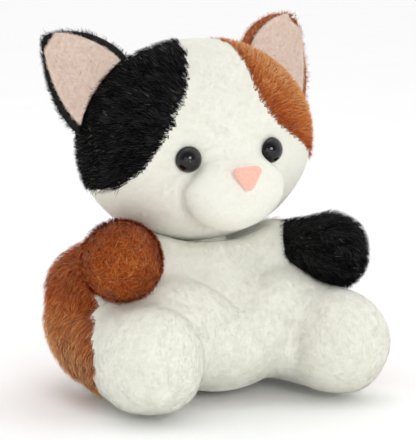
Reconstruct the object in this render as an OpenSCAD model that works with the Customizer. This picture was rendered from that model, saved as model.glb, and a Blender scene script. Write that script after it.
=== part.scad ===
// Seated bean plush cat: sewn panels over stuffing, safety eyes and nose, and limbs
// that turn on their seams. Millimetres, +Z up, the cat faces -Y, its left is +X.
// The origin is on the floor at the centre of the footprint.

/* [Whole toy] */
// Thickness of the plush cloth: backing and pile
cloth = 2.4; // [1.8:0.1:3]
// Free space between cloth and stuffing
slack = 0.5; // [0.4:0.1:0.8]
// Clearance between a limb's root and its pocket
joint_gap = 0.7; // [0.6:0.1:0.9]

/* [Head] */
// Height of the head's centre above the floor
head_z = 87; // [86:0.5:90]
// Half width of the head
head_rx = 44; // [42:0.5:45]
// Half depth of the head
head_ry = 29; // [28:0.5:31]
// Half height of the head
head_rz = 36; // [34:0.5:36]
// Sideways lean of the head, its left side up
head_lean = 2.5; // [0:0.5:4]
// How far the muzzle stands out of the face
muzzle_out = 10; // [7:0.5:11]
// Angle of the muzzle seam from the muzzle's axis
muzzle_edge = 22; // [20:0.5:22]
// Diameter of an eye
eye_d = 9; // [8:0.5:10]
// Distance between the eyes, centre to centre
eye_gap = 32; // [28:0.5:34]

/* [Ears] */
// Thickness of an ear's outer cloth
ear_cloth = 2; // [1.6:0.1:2.4]
// Thickness of an ear's lining
lining = 1.4; // [1:0.1:1.8]

/* [Body and limbs] */
// Half width of the body at the hips
body_rx = 50; // [46:0.5:51]
// Radius of an arm at its rounded end
hand_r = 13; // [12:0.25:13.25]
// Radius of an arm at the shoulder
shoulder_r = 6.8; // [6:0.1:6.8]
// Radius of a foot
foot_r = 19.5; // [18.5:0.25:19.75]
// Radius of a haunch
haunch_r = 20; // [19:0.25:20.25]
// Length of the tail from its root to the middle of its tip
tail_len = 22; // [18:1:26]
// Radius of the tail
tail_r = 7; // [6:0.25:7.5]

/* [Hidden] */

WHITE = [0.93, 0.92, 0.88];
BROWN = [0.72, 0.45, 0.22];
BLACK = [0.07, 0.07, 0.08];
PINK = [0.96, 0.80, 0.75];
STUFFING = [0.97, 0.97, 0.96];
RIGHT = -1;
LEFT = 1;

// How far the feet reach forwards and the tail backwards from the neck, and so
// where the neck lies when the footprint is centred on the origin.
FOOT_AHEAD = 33.5;
TAIL_BEHIND = 42.5;
BODY_Y = (FOOT_AHEAD + foot_r - TAIL_BEHIND - 0.81 * tail_len - 0.9 * tail_r) / 2;

HEAD = [0, BODY_Y, head_z];
HEAD_R = [head_rx, head_ry, head_rz];
// The muzzle's axis points forwards and this much down.
MUZZLE_DIP = 20;
NECK = [0, BODY_Y + 2, 48];
NECK_R = 11.5;
CORE = [0, BODY_Y + 8, 28];
SHOULDER = [24.5, BODY_Y, 46.6];
HAND = [39.5, BODY_Y - 20.5, 52.5];
HIP = [30, BODY_Y + 12, 20];
FOOT = [35.5, BODY_Y - FOOT_AHEAD, 19];
TAIL = [0, BODY_Y + TAIL_BEHIND, 11];
TAIL_TIP = TAIL + [tail_len * 0.58, tail_len * 0.81, -3];

// ---------------------------------------------------------------- small functions
function unit(v) = v / norm(v);
function mirrored(p, side) = [p.x * side, p.y, p.z];
function mix(a, b, t) = a + (b - a) * t;
function over(v, r) = [v.x / r.x, v.y / r.y, v.z / r.z];
function times(v, r) = [v.x * r.x, v.y * r.y, v.z * r.z];
function steps(a, b, n) = [for (i = [0:n]) a + (b - a) * i / n];
function times_each(list, k) = [for (v = list) v * k];

// Distance from point o along d to where the ray leaves an ellipsoid that holds o.
function leaves(o, d, c, r) =
  let (p = over(o - c, r), v = over(d, r), vv = v * v, b = p * v, k = p * p - 1)
  (sqrt(b * b - vv * k) - b) / vv;

// Distance from point o along d to where the ray enters an ellipsoid, or FAR.
FAR = 1000;
function enters(o, d, c, r) =
  let (p = over(o - c, r), v = over(d, r), vv = v * v, b = p * v, k = p * p - 1,
       disc = b * b - vv * k)
  (disc <= 0 || b >= 0) ? FAR : (-b - sqrt(disc)) / vv;

// ---------------------------------------------------------------- mesh builders
// Each takes rows of points. Rows run away from the first pole, columns turn
// clockwise when the surface is seen from outside with the first pole up.
function quads(rows, cols, wrap, base, flip) = [
  for (i = [0:rows - 2], j = [0:cols - (wrap ? 1 : 2)])
    let (k = (j + 1) % cols,
         a = base + i * cols + j, b = base + i * cols + k,
         c = base + (i + 1) * cols + k, d = base + (i + 1) * cols + j)
    each flip ? [[a, b, c], [a, c, d]] : [[a, c, b], [a, d, c]]
];
function fan(cols, row_base, pole, flip) = [
  for (j = [0:cols - 1])
    let (a = row_base + j, b = row_base + (j + 1) % cols)
    flip ? [pole, b, a] : [pole, a, b]
];
function rim(idx_a, idx_b, wrap) = [
  for (j = [0:len(idx_a) - (wrap ? 1 : 2)])
    let (k = (j + 1) % len(idx_a))
    each [[idx_a[j], idx_b[j], idx_b[k]], [idx_a[j], idx_b[k], idx_a[k]]]
];
function flat(rows) = [for (r = rows) each r];
function span(first, count, stride) = [for (i = [0:count - 1]) first + i * stride];

// A closed body from wrapped rows and the two pole points.
module closed_form(rows, first_pole, last_pole) {
  n = len(rows);
  m = len(rows[0]);
  polyhedron(
    points = concat(flat(rows), [first_pole, last_pole]),
    faces = concat(
      quads(n, m, true, 0, false),
      fan(m, 0, n * m, false),
      fan(m, (n - 1) * m, n * m + 1, true)
    )
  );
}

// A cap of cloth: wrapped rows outside and inside, closed by a fan at the first pole.
module cap_shell(outer, inner, outer_pole, inner_pole) {
  n = len(outer);
  m = len(outer[0]);
  s = n * m;
  polyhedron(
    points = concat(flat(outer), flat(inner), [outer_pole, inner_pole]),
    faces = concat(
      quads(n, m, true, 0, false),
      quads(n, m, true, s, true),
      fan(m, 0, 2 * s, false),
      fan(m, s, 2 * s + 1, true),
      rim(span((n - 1) * m, m, 1), span(s + (n - 1) * m, m, 1), true)
    )
  );
}

// A ring of cloth: wrapped rows outside and inside, open at both ends.
module ring_shell(outer, inner) {
  n = len(outer);
  m = len(outer[0]);
  s = n * m;
  polyhedron(
    points = concat(flat(outer), flat(inner)),
    faces = concat(
      quads(n, m, true, 0, false),
      quads(n, m, true, s, true),
      rim(span(s, m, 1), span(0, m, 1), true),
      rim(span((n - 1) * m, m, 1), span(s + (n - 1) * m, m, 1), true)
    )
  );
}

// A patch of cloth with four free edges.
module patch_shell(outer, inner) {
  n = len(outer);
  m = len(outer[0]);
  s = n * m;
  polyhedron(
    points = concat(flat(outer), flat(inner)),
    faces = concat(
      quads(n, m, false, 0, false),
      quads(n, m, false, s, true),
      rim(span(s, m, 1), span(0, m, 1), false),
      rim(span((n - 1) * m, m, 1), span(s + (n - 1) * m, m, 1), false),
      rim(span(0, n, m), span(s, n, m), false),
      rim(span(s + m - 1, n, m), span(m - 1, n, m), false)
    )
  );
}

// ---------------------------------------------------------------- body
BODY_FORMS = [
  [[0, BODY_Y + 13, 25], [body_rx, 32, 28]],
  [[0, BODY_Y - 8, 17.5], [21, 28, 18]],
  [[0, BODY_Y + 2, 38], [28, 21, 17]]
];
BLEND = 12;
// The body leaves room for its joints: rays from the core stop at the balls that
// make up a limb, and beside them climb again by RAMP for each mm that they pass.
RAMP = 4;
// Extra room round an arm, which swings both ways, and round the tail.
SWING_ROOM = 1.2;
function ball_limit(d, c, r) =
  let (v = c - CORE, s = v * d, m = sqrt(max(0, v * v - s * s)))
  s <= 0 ? FAR : m < r ? s - sqrt(r * r - m * m) : s + RAMP * (m - r);
function limb_limit(d, a, b, ra, rb, room) =
  min([for (t = steps(0, 1, 8)) ball_limit(d, mix(a, b, t), mix(ra, rb, t) + room)]);
function joints_limit(d) =
  let (e = [abs(d.x), d.y, d.z])
  min(
    limb_limit(e, HIP, FOOT, haunch_r, foot_r, joint_gap + 0.3),
    limb_limit(e, SHOULDER, HAND, shoulder_r, hand_r, joint_gap + SWING_ROOM),
    ball_limit(e, TAIL, tail_r + joint_gap + SWING_ROOM),
    ball_limit(e, NECK, NECK_R + joint_gap)
  );
// The head may turn and nod inside this ellipsoid.
HEAD_ROOM = [head_rx + 1.5, head_rx - 3, head_rz + 2];

function body_reach(d) =
  let (
    grown = pow(
      [for (f = BODY_FORMS) pow(leaves(CORE, d, f[0], f[1]), BLEND)] * [1, 1, 1],
      1 / BLEND
    ),
    floor_at = d.z < 0 ? -CORE.z / d.z : FAR,
    head_at = enters(CORE, d, HEAD, HEAD_ROOM)
  )
  min(grown, floor_at, head_at, joints_limit(d));

function body_dir(turn, fall) =
  [-sin(fall) * sin(turn), -sin(fall) * cos(turn), cos(fall)];
function body_point(turn, fall, inset) =
  let (d = body_dir(turn, fall))
  CORE + d * (body_reach(d) - inset);
function body_rows(turns, falls, inset) =
  [for (f = falls) [for (t = turns) body_point(t, f, inset)]];

NECK_HOLE = 12;
SEAT_SEAM = 142;
SIDE_SEAM = 80;
// The panels' falls between the neck hole and the seat's seam, and below it.
BODY_FALLS = steps(NECK_HOLE, SEAT_SEAM, 16);
SEAT_FALLS = [174, 166, 158, 150];
BODY_STEP = 8;

module body_half(turns) {
  patch_shell(body_rows(turns, BODY_FALLS, 0), body_rows(turns, BODY_FALLS, cloth));
}

module chest_panel() {
  color(WHITE) body_half([for (t = [-SIDE_SEAM:BODY_STEP:SIDE_SEAM]) t]);
}

module back_panel() {
  color(BROWN) body_half([for (t = [SIDE_SEAM:BODY_STEP:360 - SIDE_SEAM]) t]);
}

module seat_panel() {
  turns = [for (t = [0:BODY_STEP:352]) -t];
  falls = concat(SEAT_FALLS, [SEAT_SEAM + 0.3]);
  color(WHITE)
    cap_shell(
      body_rows(turns, falls, 0),
      body_rows(turns, falls, cloth),
      body_point(0, 180, 0),
      body_point(0, 180, cloth)
    );
}

FILL_FLOOR = 17;
module body_fill() {
  deep = cloth + slack;
  rows = [
    for (f = concat([7], BODY_FALLS, [for (i = [3:-1:0]) SEAT_FALLS[i]])) [
      for (t = [0:BODY_STEP:352])
        let (
          d = body_dir(t, f),
          floor_at = d.z < 0 ? (FILL_FLOOR - CORE.z) / d.z : FAR
        )
        CORE + d * min(body_reach(d) - deep, floor_at)
    ]
  ];
  color(STUFFING)
    closed_form(rows, body_point(0, 0, deep), [CORE.x, CORE.y, FILL_FLOOR]);
}

// A flat sachet of pellets low in the seat keeps the toy upright.
SACHET = [0, BODY_Y + 6, 9.7];
SACHET_R = [9, 24, 6];
module pellet_sachet() {
  rows = [
    for (f = steps(12, 168, 10)) [
      for (t = [0:15:345])
        SACHET + times(body_dir(t, f), SACHET_R)
    ]
  ];
  color([0.85, 0.85, 0.9])
    closed_form(rows, SACHET + [0, 0, SACHET_R.z], SACHET - [0, 0, SACHET_R.z]);
}

// A folded blank label, caught in the side seam at the back.
LABEL_TURN = 152;
LABEL_FALL = 84;
LABEL_W = 12;
LABEL_L = 9;
LABEL_PLY = 0.35;
module care_label() {
  at = body_point(LABEL_TURN, LABEL_FALL, -0.4);
  color("white")
    translate(at)
      rotate([0, 0, 180 - LABEL_TURN])
        for (ply = [-1, 1])
          translate([ply * (LABEL_PLY + 0.1) / 2 - LABEL_PLY / 2, 0, -LABEL_W / 2])
            cube([LABEL_PLY, LABEL_L, LABEL_W]);
}

// Ladder stitches that close the back after stuffing.
STITCH_N = 7;
module closing_stitches() {
  color([0.5, 0.3, 0.15])
    for (i = [0:STITCH_N - 1]) {
      at = body_point(180, 62 + 2.6 * i, -0.55);
      translate(at) rotate([0, 90, 0]) cylinder(h = 2.2, r = 0.35, center = true, $fn = 24);
    }
}

// ---------------------------------------------------------------- neck
module neck_stuffing() {
  color(STUFFING) translate(NECK) sphere(r = NECK_R, $fn = 96);
}

THREAD_R = 0.45;
module neck_stitches() {
  color(WHITE)
    translate(NECK)
      rotate_extrude($fn = 96) translate([NECK_R + THREAD_R + 0.03, 0]) circle(r = THREAD_R, $fn = 24);
}

// ---------------------------------------------------------------- head
module on_head() {
  translate(NECK) rotate([0, -head_lean, 0]) translate(-NECK) children();
}

// Direction in the head's unit sphere: open from the muzzle's axis, turn clockwise
// from the top towards the cat's left.
function head_dir(open, turn) =
  let (v = [sin(open) * sin(turn), -cos(open), sin(open) * cos(turn)])
  [
    v.x,
    v.y * cos(MUZZLE_DIP) - v.z * sin(MUZZLE_DIP),
    v.y * sin(MUZZLE_DIP) + v.z * cos(MUZZLE_DIP)
  ];
function muzzle_swell(open) =
  open >= muzzle_edge ? 0 : muzzle_out * pow(1 - pow(open / muzzle_edge, 2.6), 0.6);
function head_room_at(p) =
  let (v = p - HEAD, d = unit(v), r = NECK_R + joint_gap + 0.6)
  min(norm(v), enters(HEAD, d, NECK, [r, r, r]));
function head_point(open, turn, inset) =
  let (
    skin = HEAD + times(head_dir(open, turn), HEAD_R)
      + muzzle_swell(open) * [0, -cos(8), -sin(8)],
    v = skin - HEAD
  )
  HEAD + unit(v) * (head_room_at(skin) - inset);

BACK_EDGE = 118;
// Where the coloured patches begin: turn and open angle, on the columns of the net.
BLACK_EDGE = [[-120, 116], [-114, 92], [-108, 75], [-102, 61], [-96, 53], [-84, 46], [-66, 42],
  [-48, 42.5], [-36, 47], [-24, 55.5], [-18, 62], [-12, 76], [-6, 98], [0, 116]];
BROWN_EDGE = [[6, 116], [12, 90], [18, 58], [24, 49], [30, 44], [36, 41.5], [48, 41], [60, 42.5],
  [72, 46], [84, 54], [96, 65], [102, 76], [108, 94], [114, 116]];
function in_span(turn, edge) = turn >= edge[0][0] && turn <= edge[len(edge) - 1][0];
function patch_start(turn) =
  in_span(turn, BLACK_EDGE) ? lookup(turn, BLACK_EDGE)
  : in_span(turn, BROWN_EDGE) ? lookup(turn, BROWN_EDGE)
  : BACK_EDGE;
function face_edge(turn) = patch_start(turn > 180 ? turn - 360 : turn);

HEAD_TURNS = [for (t = [0:6:354]) t];

module head_face_panel() {
  rows = 9;
  function row(share, inset) =
    [for (t = HEAD_TURNS) head_point(mix(face_edge(t), muzzle_edge, share), t, inset)];
  function net(inset) = [for (i = [0:rows]) row(1 - i / rows, inset)];
  color(WHITE)
    on_head()
      difference() {
        ring_shell(net(0), net(cloth));
        for (side = [RIGHT, LEFT]) at_eye(side) eye_room();
      }
}

module muzzle_panel() {
  opens = times_each([0.14, 0.36, 0.59, 0.77, 0.88, 0.95, 0.985], muzzle_edge);
  turns = [for (t = [0:12:348]) t];
  function net(inset) = [for (o = opens) [for (t = turns) head_point(o, t, inset)]];
  color(WHITE)
    on_head()
      difference() {
        cap_shell(net(0), net(cloth), head_point(0, 0, 0), head_point(0, 0, cloth));
        at_nose() nose_room();
        for (side = [RIGHT, LEFT]) at_eye(side) eye_room();
      }
}

module head_patch(turns) {
  rows = 8;
  function net(inset) = [
    for (i = [0:rows]) [
      for (t = turns)
        head_point(mix(patch_start(t) + 0.3, BACK_EDGE - 0.3, i / rows), t, inset)
    ]
  ];
  patch_shell(net(0), net(cloth));
}

module head_patch_black() {
  color(BLACK) on_head() head_patch([for (t = [-120:6:0]) t]);
}

module head_patch_brown() {
  color(BROWN) on_head() head_patch([for (t = [6:6:114]) t]);
}

module head_back_panel() {
  opens = [174, 163, 152, 141, 130, BACK_EDGE + 0.3];
  turns = [for (t = [0:12:348]) -t];
  function net(inset) = [for (o = opens) [for (t = turns) head_point(o, t, inset)]];
  color(WHITE) on_head() cap_shell(net(0), net(cloth), head_point(180, 0, 0), head_point(180, 0, cloth));
}

// Room that the stuffing leaves round the washers of the eyes and the nose.
WASHER_ROOM = 7.5;
function fill_reach(p) =
  let (v = p - HEAD, d = unit(v), r = [WASHER_ROOM, WASHER_ROOM, WASHER_ROOM])
  min(norm(v), enters(HEAD, d, eye_seat(LEFT), r), enters(HEAD, d, eye_seat(RIGHT), r));

module head_fill() {
  deep = cloth + slack + FILL_EASE;
  rows = [
    for (o = concat(steps(4, 44, 8), steps(52, 174, 13))) [
      for (t = [0:10:350])
        let (p = HEAD + (head_point(max(o, 0), t, deep) - HEAD), v = unit(p - HEAD))
        HEAD + v * min(fill_reach(p), o < muzzle_edge + 3 ? HEAD_CORE : FAR)
    ]
  ];
  color(STUFFING)
    on_head()
      closed_form(
        rows,
        HEAD + unit(head_point(0, 0, 0) - HEAD) * HEAD_CORE,
        head_point(180, 0, deep)
      );
}
// The head's stuffing stops here behind the muzzle, where the muzzle's own wad begins.
HEAD_CORE = 19;
// The head's stuffing keeps this much more off the cloth than a limb's.
FILL_EASE = 1;

module muzzle_fill() {
  deep = cloth + slack;
  turns = [for (t = [0:15:345]) t];
  function ahead(o, t, far) = HEAD + unit(head_point(o, t, 0) - HEAD) * far;
  rows = concat(
    [for (o = [5, 10, 15, 18]) [for (t = turns) head_point(o, t, deep + 3)]],
    [for (o = [18, 10, 5]) [for (t = turns) ahead(o, t, HEAD_CORE + slack + 0.4)]]
  );
  color(STUFFING)
    on_head()
      closed_form(rows, head_point(0, 0, deep + 6), ahead(0, 0, HEAD_CORE + slack + 0.4));
}

// ---------------------------------------------------------------- eyes and nose
EYE_Z = head_z - 2.3;
EYE_SINK = 1.4;
SHANK_R = 1.4;
SHANK_L = 5.8;
WASHER_R = 5;
WASHER_T = 1.2;
function eye_seat(side) =
  let (x = side * eye_gap / 2, z = EYE_Z - HEAD.z,
       y = -head_ry * sqrt(1 - pow(x / head_rx, 2) - pow(z / head_rz, 2)))
  HEAD + [x, y, z];
function eye_normal(side) =
  let (p = eye_seat(side) - HEAD)
  unit([p.x / pow(head_rx, 2), p.y / pow(head_ry, 2), p.z / pow(head_rz, 2)]);

// Puts a solid that points along +Z at the seat, looking out along the normal.
module look_out(seat, normal) {
  translate(seat)
    rotate([0, acos(normal.z), atan2(normal.y, normal.x)])
      children();
}
module at_eye(side) {
  look_out(eye_seat(side), eye_normal(side)) children();
}

module eye_room() {
  translate([0, 0, -EYE_SINK]) cylinder(h = 8, r = eye_d / 2 + 0.25, $fn = 64);
  translate([0, 0, -12]) cylinder(h = 12, r = SHANK_R + 0.1, $fn = 48);
}

EYE_BULGE = 3.4;
module eye() {
  dome_r = (pow(eye_d / 2, 2) + pow(EYE_BULGE, 2)) / (2 * EYE_BULGE);
  translate([0, 0, -EYE_SINK + 0.1])
    union() {
      intersection() {
        translate([0, 0, EYE_BULGE - dome_r]) sphere(r = dome_r, $fn = 96);
        cylinder(h = EYE_BULGE + 1, r = eye_d / 2, $fn = 96);
      }
      translate([0, 0, -SHANK_L + 0.5]) cylinder(h = SHANK_L, r = SHANK_R, $fn = 48);
    }
}

module washer() {
  translate([0, 0, -cloth - 0.9 - WASHER_T])
    difference() {
      cylinder(h = WASHER_T, r = WASHER_R, $fn = 64);
      translate([0, 0, -1]) cylinder(h = WASHER_T + 2, r = SHANK_R + 0.05, $fn = 48);
    }
}

module eye_right() {
  color([0.05, 0.04, 0.04]) on_head() at_eye(RIGHT) eye();
}
module eye_left() {
  color([0.05, 0.04, 0.04]) on_head() at_eye(LEFT) eye();
}
module eye_washer_right() {
  color([0.9, 0.9, 0.9]) on_head() at_eye(RIGHT) washer();
}
module eye_washer_left() {
  color([0.9, 0.9, 0.9]) on_head() at_eye(LEFT) washer();
}

// The nose: a rounded triangle, point down, on a shank through the muzzle.
NOSE_W = 10;
NOSE_H = 8;
NOSE_T = 2.2;
NOSE_OPEN = 8;
NOSE_TILT = 7;
function nose_seat() = head_point(NOSE_OPEN, 0, 0);
module at_nose() {
  translate(nose_seat()) rotate([90 - NOSE_TILT, 0, 0]) children();
}
module nose_room() {
  translate([0, 0, -10]) cylinder(h = 12, r = SHANK_R + 0.1, $fn = 48);
  translate([0, 0, -0.8]) cylinder(h = 6, r = NOSE_W / 2 + 1, $fn = 48);
}
module nose() {
  r = 1.8;
  color(PINK)
    on_head()
      at_nose()
        union() {
          translate([0, 0, -0.6])
            hull() {
              for (x = [-1, 1])
                translate([x * (NOSE_W / 2 - r), NOSE_H / 2 - r, 0]) nose_button(r);
              translate([0, -NOSE_H / 2 + r, 0]) nose_button(r);
            }
          translate([0, 0, -SHANK_L + 0.5]) cylinder(h = SHANK_L, r = SHANK_R, $fn = 48);
        }
}
module nose_button(r) {
  cylinder(h = NOSE_T * 0.55, r = r, $fn = 32);
  cylinder(h = NOSE_T, r = r * 0.6, $fn = 32);
}
module nose_washer() {
  color([0.9, 0.9, 0.9]) on_head() at_nose() translate([0, 0, -0.8]) washer();
}

// ---------------------------------------------------------------- ears
EAR_IN = [23, BODY_Y + 6, head_z + 31];
EAR_OUT = [43.5, BODY_Y + 2, head_z + 6.5];
EAR_ROWS = 9;
EAR_COLS = 10;
EAR_CUP = 4;
EAR_GAP = 1.3;
LINING_GAP = 1.2;
// A point of the seam: on the head, a little above its cloth.
function ear_root(s) =
  let (p = mix(EAR_IN, EAR_OUT, s) - HEAD, u = unit(over(p, HEAD_R)))
  HEAD + times(u, HEAD_R) + unit(over(u, HEAD_R)) * EAR_GAP;
EAR_ACROSS = unit(EAR_OUT - EAR_IN);
EAR_MID = mix(EAR_IN, EAR_OUT, 0.5);
EAR_TIP = [48.5, BODY_Y + 15, head_z + 38.5];
EAR_UP = unit(EAR_TIP - EAR_MID);
EAR_FRONT = unit(cross(EAR_ACROSS, EAR_UP));

// A point of the ear: s runs along the seam, t from the seam to the tip, and lift
// moves it towards the front.
function ear_narrow(t) = 1.1 * pow(1 - pow(t, 2.2), 0.75);
function ear_point(s, t, shrink, lift) =
  let (
    across = (s - 0.5) * shrink,
    root = ear_root(0.5 + across),
    crown = mix(EAR_MID, EAR_TIP, t),
    wide = norm(EAR_OUT - EAR_IN) * ear_narrow(t) * across,
    flat_at = crown + EAR_ACROSS * wide,
    w = pow(1 - t, 4),
    cup = EAR_CUP * (1 - pow(2 * across, 2)) * sin(180 * min(1, t * 0.85 + 0.1))
  )
  mix(flat_at, root, w) - EAR_FRONT * (cup - lift);

module ear_sheet(side, shrink, t0, t1, front, back) {
  function net(lift) = [
    for (t = steps(t0, t1, EAR_ROWS)) [
      for (s = steps(0, 1, EAR_COLS)) mirrored(ear_point(s, t, shrink, lift), side)
    ]
  ];
  a = net(front);
  b = net(back);
  if (side < 0) patch_shell(b, a);
  else patch_shell(a, b);
}
module ear_outer(side) {
  on_head() ear_sheet(side, 1, 0, 0.985, 0, -ear_cloth);
}
module ear_inner(side) {
  on_head() ear_sheet(side, 0.78, 0.06, 0.86, lining + LINING_GAP, LINING_GAP);
}
module ear_right_outer() {
  color(BLACK) ear_outer(RIGHT);
}
module ear_right_lining() {
  color(PINK) ear_inner(RIGHT);
}
module ear_left_outer() {
  color(BROWN) ear_outer(LEFT);
}
module ear_left_lining() {
  color(PINK) ear_inner(LEFT);
}

// ---------------------------------------------------------------- limbs
// A limb is two balls and the cone that touches both. Its profile lists the
// distance along the axis and the radius, from the root's pole to the tip's pole.
function limb_profile(r0, r1, len, inset, root_cut, tip_cut, n0, n1) =
  let (flare = asin((r1 - r0) / len))
  concat(
    [for (a = steps(180 - root_cut, 90 + flare, n0)) (r0 - inset) * [cos(a), sin(a)]],
    [for (a = steps(90 + flare, tip_cut, n1)) [len, 0] + (r1 - inset) * [cos(a), sin(a)]]
  );
// The limb's ring at one profile point. Turn 0 is the limb's upper side.
function limb_ring(a, b, pt, turns, low) =
  let (
    axis = unit(b - a),
    side = unit(cross(axis, [0, 0, 1])),
    top = cross(side, axis)
  )
  [
    for (t = turns)
      let (p = a + axis * pt[0] + (top * cos(t) + side * sin(t)) * pt[1])
      [p.x, p.y, max(p.z, low)]
  ];
function limb_rows(a, b, profile, turns, low) = [for (pt = profile) limb_ring(a, b, pt, turns, low)];

ALL_ROUND = [for (t = [0:18:342]) t];
POLE_CUT = 5;

module limb_half(a, b, r0, r1, turns) {
  len = norm(b - a);
  function profile(inset) = limb_profile(r0, r1, len, inset, POLE_CUT, POLE_CUT, 6, 7);
  function net(inset) = limb_rows(a, b, profile(inset), turns, 0);
  patch_shell(net(0), net(cloth));
}
module limb_fill(a, b, r0, r1, low) {
  len = norm(b - a);
  deep = cloth + slack;
  axis = unit(b - a);
  closed_form(
    limb_rows(a, b, limb_profile(r0, r1, len, deep, 15, 15, 5, 6), ALL_ROUND, low),
    a - axis * (r0 - deep),
    b + axis * (r1 - deep)
  );
}

module arm_half(side, turns) {
  limb_half(mirrored(SHOULDER, side), mirrored(HAND, side), shoulder_r, hand_r, turns);
}
module arm_fill(side) {
  color(STUFFING) limb_fill(mirrored(SHOULDER, side), mirrored(HAND, side), shoulder_r, hand_r, 0);
}
UPPER = steps(-89, 89, 10);
LOWER = steps(91, 269, 10);
module arm_right_top() {
  color(BROWN) arm_half(RIGHT, UPPER);
}
module arm_right_under() {
  color(BROWN) arm_half(RIGHT, LOWER);
}
module arm_right_fill() {
  arm_fill(RIGHT);
}
module arm_left_top() {
  color(BLACK) arm_half(LEFT, UPPER);
}
module arm_left_under() {
  color(BLACK) arm_half(LEFT, LOWER);
}
module arm_left_fill() {
  arm_fill(LEFT);
}

// The leg: a brown haunch cup and a white foot cup that meet round the thigh.
THIGH_SEAM = 0.5;
module leg_cup(side, tip) {
  a = mirrored(HIP, side);
  b = mirrored(FOOT, side);
  len = norm(b - a);
  axis = unit(b - a);
  turns = tip ? [for (t = ALL_ROUND) -t] : ALL_ROUND;
  function rows(inset) =
    let (
      whole = limb_profile(haunch_r, foot_r, len, inset, 12, 12, 7, 8),
      seam = [len * THIGH_SEAM + (tip ? 0.15 : -0.15), mix(haunch_r, foot_r, THIGH_SEAM) - inset],
      keep = tip
        ? [for (i = [len(whole) - 1:-1:8]) whole[i]]
        : [for (i = [0:7]) whole[i]]
    )
    limb_rows(a, b, concat(keep, [seam]), turns, inset);
  function pole(inset) = tip
    ? b + axis * (foot_r - inset)
    : a - axis * (haunch_r - inset);
  cap_shell(rows(0), rows(cloth), pole(0), pole(cloth));
}
module leg_fill(side) {
  color(STUFFING)
    limb_fill(mirrored(HIP, side), mirrored(FOOT, side), haunch_r, foot_r, cloth + slack);
}
module leg_right_foot() {
  color(WHITE) leg_cup(RIGHT, true);
}
module leg_right_haunch() {
  color(BROWN) leg_cup(RIGHT, false);
}
module leg_right_fill() {
  leg_fill(RIGHT);
}
module leg_left_foot() {
  color(WHITE) leg_cup(LEFT, true);
}
module leg_left_haunch() {
  color(BROWN) leg_cup(LEFT, false);
}
module leg_left_fill() {
  leg_fill(LEFT);
}

// ---------------------------------------------------------------- tail
module tail_top() {
  color(BROWN) limb_half(TAIL, TAIL_TIP, tail_r, tail_r * 0.9, UPPER);
}
module tail_under() {
  color(BROWN) limb_half(TAIL, TAIL_TIP, tail_r, tail_r * 0.9, LOWER);
}
module tail_fill() {
  color(STUFFING) limb_fill(TAIL, TAIL_TIP, tail_r, tail_r * 0.9, 0);
}

chest_panel();
back_panel();
seat_panel();
body_fill();
pellet_sachet();
care_label();
closing_stitches();
neck_stuffing();
neck_stitches();
head_face_panel();
muzzle_panel();
head_patch_black();
head_patch_brown();
head_back_panel();
head_fill();
muzzle_fill();
eye_right();
eye_left();
eye_washer_right();
eye_washer_left();
nose();
nose_washer();
ear_right_outer();
ear_right_lining();
ear_left_outer();
ear_left_lining();
arm_right_top();
arm_right_under();
arm_right_fill();
arm_left_top();
arm_left_under();
arm_left_fill();
leg_right_foot();
leg_right_haunch();
leg_right_fill();
leg_left_foot();
leg_left_haunch();
leg_left_fill();
tail_top();
tail_under();
tail_fill();
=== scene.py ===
"""Looks of a seated plush cat: soft skins and a combed pile of fur over the CAD frame."""

import math

import bpy
import numpy as np
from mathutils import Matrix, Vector


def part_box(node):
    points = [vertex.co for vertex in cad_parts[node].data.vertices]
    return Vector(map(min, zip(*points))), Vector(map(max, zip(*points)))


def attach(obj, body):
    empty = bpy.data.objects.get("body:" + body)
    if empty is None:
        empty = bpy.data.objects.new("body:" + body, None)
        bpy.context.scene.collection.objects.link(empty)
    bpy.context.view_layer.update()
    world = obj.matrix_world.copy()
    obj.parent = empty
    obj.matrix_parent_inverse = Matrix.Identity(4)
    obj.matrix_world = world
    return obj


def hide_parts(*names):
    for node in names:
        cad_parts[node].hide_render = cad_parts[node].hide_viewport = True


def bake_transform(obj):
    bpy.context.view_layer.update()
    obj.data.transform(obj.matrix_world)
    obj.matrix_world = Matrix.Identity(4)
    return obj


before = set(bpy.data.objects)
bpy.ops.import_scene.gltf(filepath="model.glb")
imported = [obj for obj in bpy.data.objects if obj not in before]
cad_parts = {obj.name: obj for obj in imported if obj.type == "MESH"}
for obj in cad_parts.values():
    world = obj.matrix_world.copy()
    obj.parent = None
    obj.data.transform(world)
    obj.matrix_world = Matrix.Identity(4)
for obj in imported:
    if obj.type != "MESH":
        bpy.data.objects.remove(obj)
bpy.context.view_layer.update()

# ------------------------------------------------------------------ places, in millimetres
MM = 0.001


def centre(node):
    low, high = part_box(node)
    return np.array((low + high) / 2) / MM


def at(base, x, y, z):
    return base + np.array([x, y, z], float)


NECK = centre("neck_stuffing")
HEAD = at(NECK, 0, -2, 39)
AXIS = at(NECK, 0, -2, -NECK[2])
HEAD_R = np.array([44.0, 29.0, 36.0])
LEAN = math.radians(2.5)
RIGHT, LEFT = -1, 1
HIP, FOOT = at(AXIS, 30, 12, 20), at(AXIS, 35.5, -33.5, 19)
HIP_R, FOOT_R = 20.0, 19.5
SHOULDER, HAND = at(AXIS, 24.5, 0, 46.6), at(AXIS, 39.5, -20.5, 52.5)
TAIL, TAIL_R = at(AXIS, 0, 42.5, 11), 7.0
TAIL_TIP = at(TAIL, 12.8, 17.8, -3)
SKIN_UNDER = 1.3
FLOOR_GAP = 0.6


def mirrored(point, side):
    return point * np.array([side, 1, 1])


def turned(points, pivot, angle):
    """Points turned about the Y axis through pivot, up towards +X for a positive angle."""
    c, s = math.cos(angle), math.sin(angle)
    x, z = points[..., 0] - pivot[0], points[..., 2] - pivot[2]
    out = points.copy()
    out[..., 0] = pivot[0] + c * x - s * z
    out[..., 2] = pivot[2] + s * x + c * z
    return out


def lean(points):
    return turned(np.asarray(points, float), NECK, LEAN)


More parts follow.
